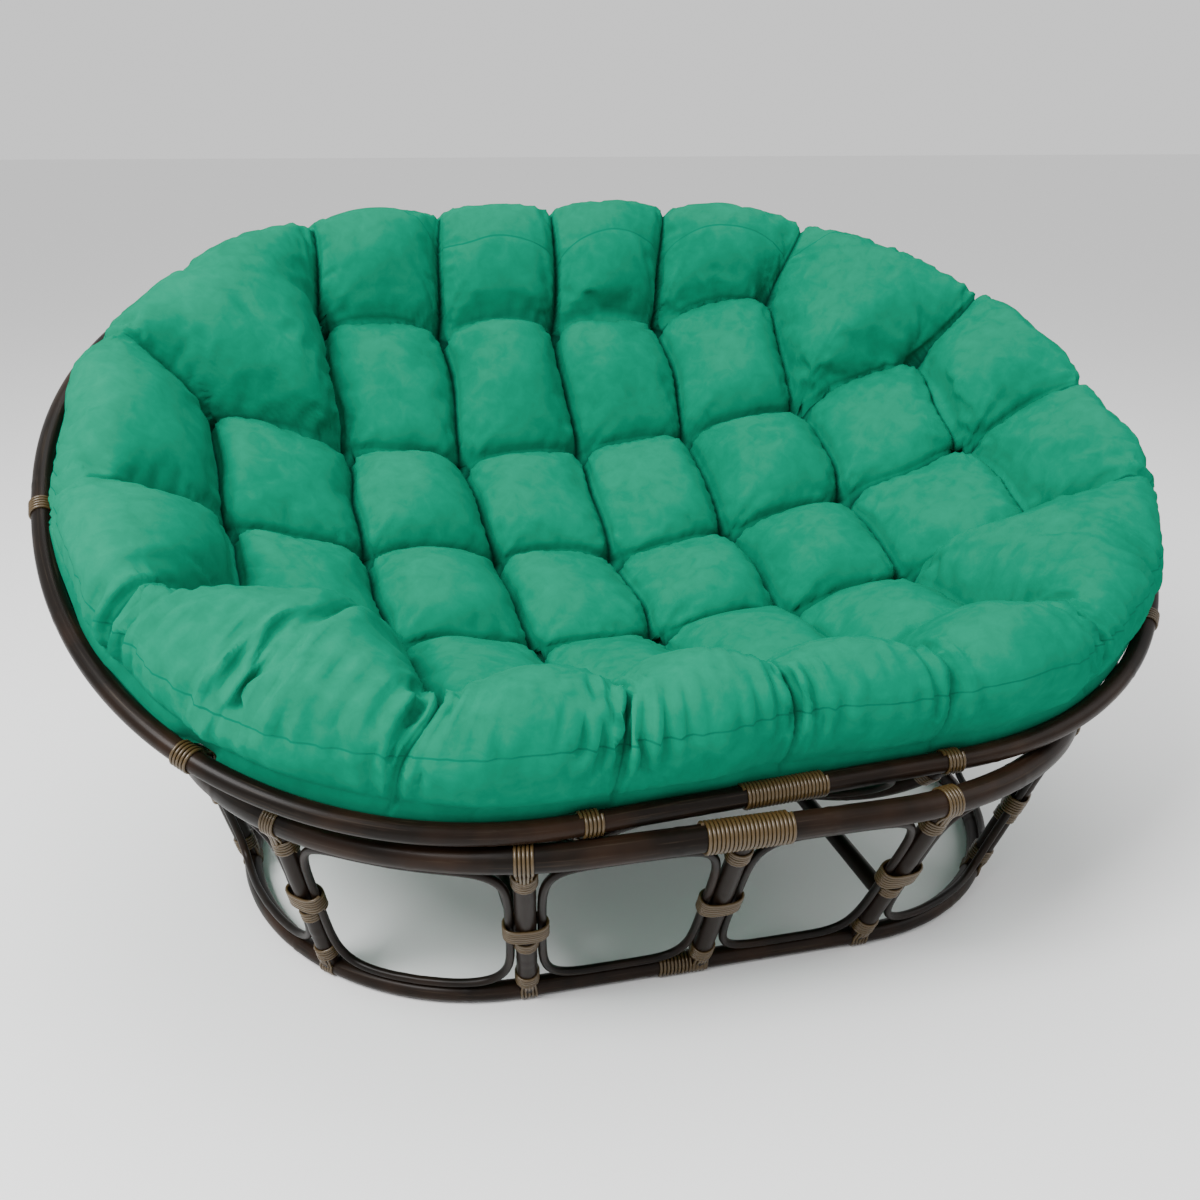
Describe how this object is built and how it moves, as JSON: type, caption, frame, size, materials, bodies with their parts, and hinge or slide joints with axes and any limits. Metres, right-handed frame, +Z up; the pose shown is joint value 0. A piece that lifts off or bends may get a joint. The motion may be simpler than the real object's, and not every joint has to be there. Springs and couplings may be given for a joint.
{
  "type": "double papasan chair",
  "caption": "Wide oval papasan chair: a tilted rattan bowl with a tufted green cushion lying on an oval rattan base.",
  "frame": {"origin": "on the floor, under the middle of the whole chair's bounding box", "axes": "+Z up, -Y to the front, +X to the right as seen from the front"},
  "size_m": [1.6772, 1.2184, 0.9672],
  "materials": {
    "rattan_dark": "semi-gloss dark brown stain",
    "rattan_slim": "satin dark brown stain",
    "cane_binding": "glossy golden brown split cane",
    "suede_green": "matt brushed microsuede"
  },
  "bodies": {
    "base": {"base_cross_bar_left": "rattan_dark", "base_cross_bar_right": "rattan_dark", "base_foot_ring": "rattan_dark", "base_loop_01": "rattan_slim", "base_loop_02": "rattan_slim", "base_loop_03": "rattan_slim", "base_loop_04": "rattan_slim", "base_loop_05": "rattan_slim", "base_loop_06": "rattan_slim", "base_loop_07": "rattan_slim", "base_loop_08": "rattan_slim", "base_loop_09": "rattan_slim", "base_loop_10": "rattan_slim", "base_loop_11": "rattan_slim", "base_loop_12": "rattan_slim", "base_post_01": "rattan_dark", "base_post_02": "rattan_dark", "base_post_03": "rattan_dark", "base_post_04": "rattan_dark", "base_post_05": "rattan_dark", "base_post_06": "rattan_dark", "base_post_07": "rattan_dark", "base_post_08": "rattan_dark", "base_post_09": "rattan_dark", "base_post_10": "rattan_dark", "base_post_11": "rattan_dark", "base_post_12": "rattan_dark", "base_top_ring": "rattan_dark", "base_top_splice_binding": "cane_binding"},
    "bowl": {"bowl_floor_ring": "rattan_dark", "bowl_loop_01": "rattan_slim", "bowl_loop_02": "rattan_slim", "bowl_loop_03": "rattan_slim", "bowl_loop_04": "rattan_slim", "bowl_loop_05": "rattan_slim", "bowl_loop_06": "rattan_slim", "bowl_loop_07": "rattan_slim", "bowl_loop_08": "rattan_slim", "bowl_loop_09": "rattan_slim", "bowl_loop_10": "rattan_slim", "bowl_rib_01": "rattan_dark", "bowl_rib_02": "rattan_dark", "bowl_rib_03": "rattan_dark", "bowl_rib_04": "rattan_dark", "bowl_rib_05": "rattan_dark", "bowl_rib_06": "rattan_dark", "bowl_rib_07": "rattan_dark", "bowl_rib_08": "rattan_dark", "bowl_rib_09": "rattan_dark", "bowl_rib_10": "rattan_dark", "bowl_rim": "rattan_dark", "bowl_rim_splice_binding": "cane_binding"},
    "cushion": {"cushion": "suede_green"}
  },
  "joints": [
    {"name": "bowl_tilt", "type": "hinge", "parent": "base", "child": "bowl", "pos_m": [0.00635, -0.07521, 0.7876], "axis": [0.9971, 0.0767, 0], "range_deg": [-20, 0]},
    {"name": "cushion_lift", "type": "slide", "parent": "bowl", "child": "cushion", "axis": [0.0335, -0.4355, 0.8996], "range_m": [0, 0.25]}
  ]
}
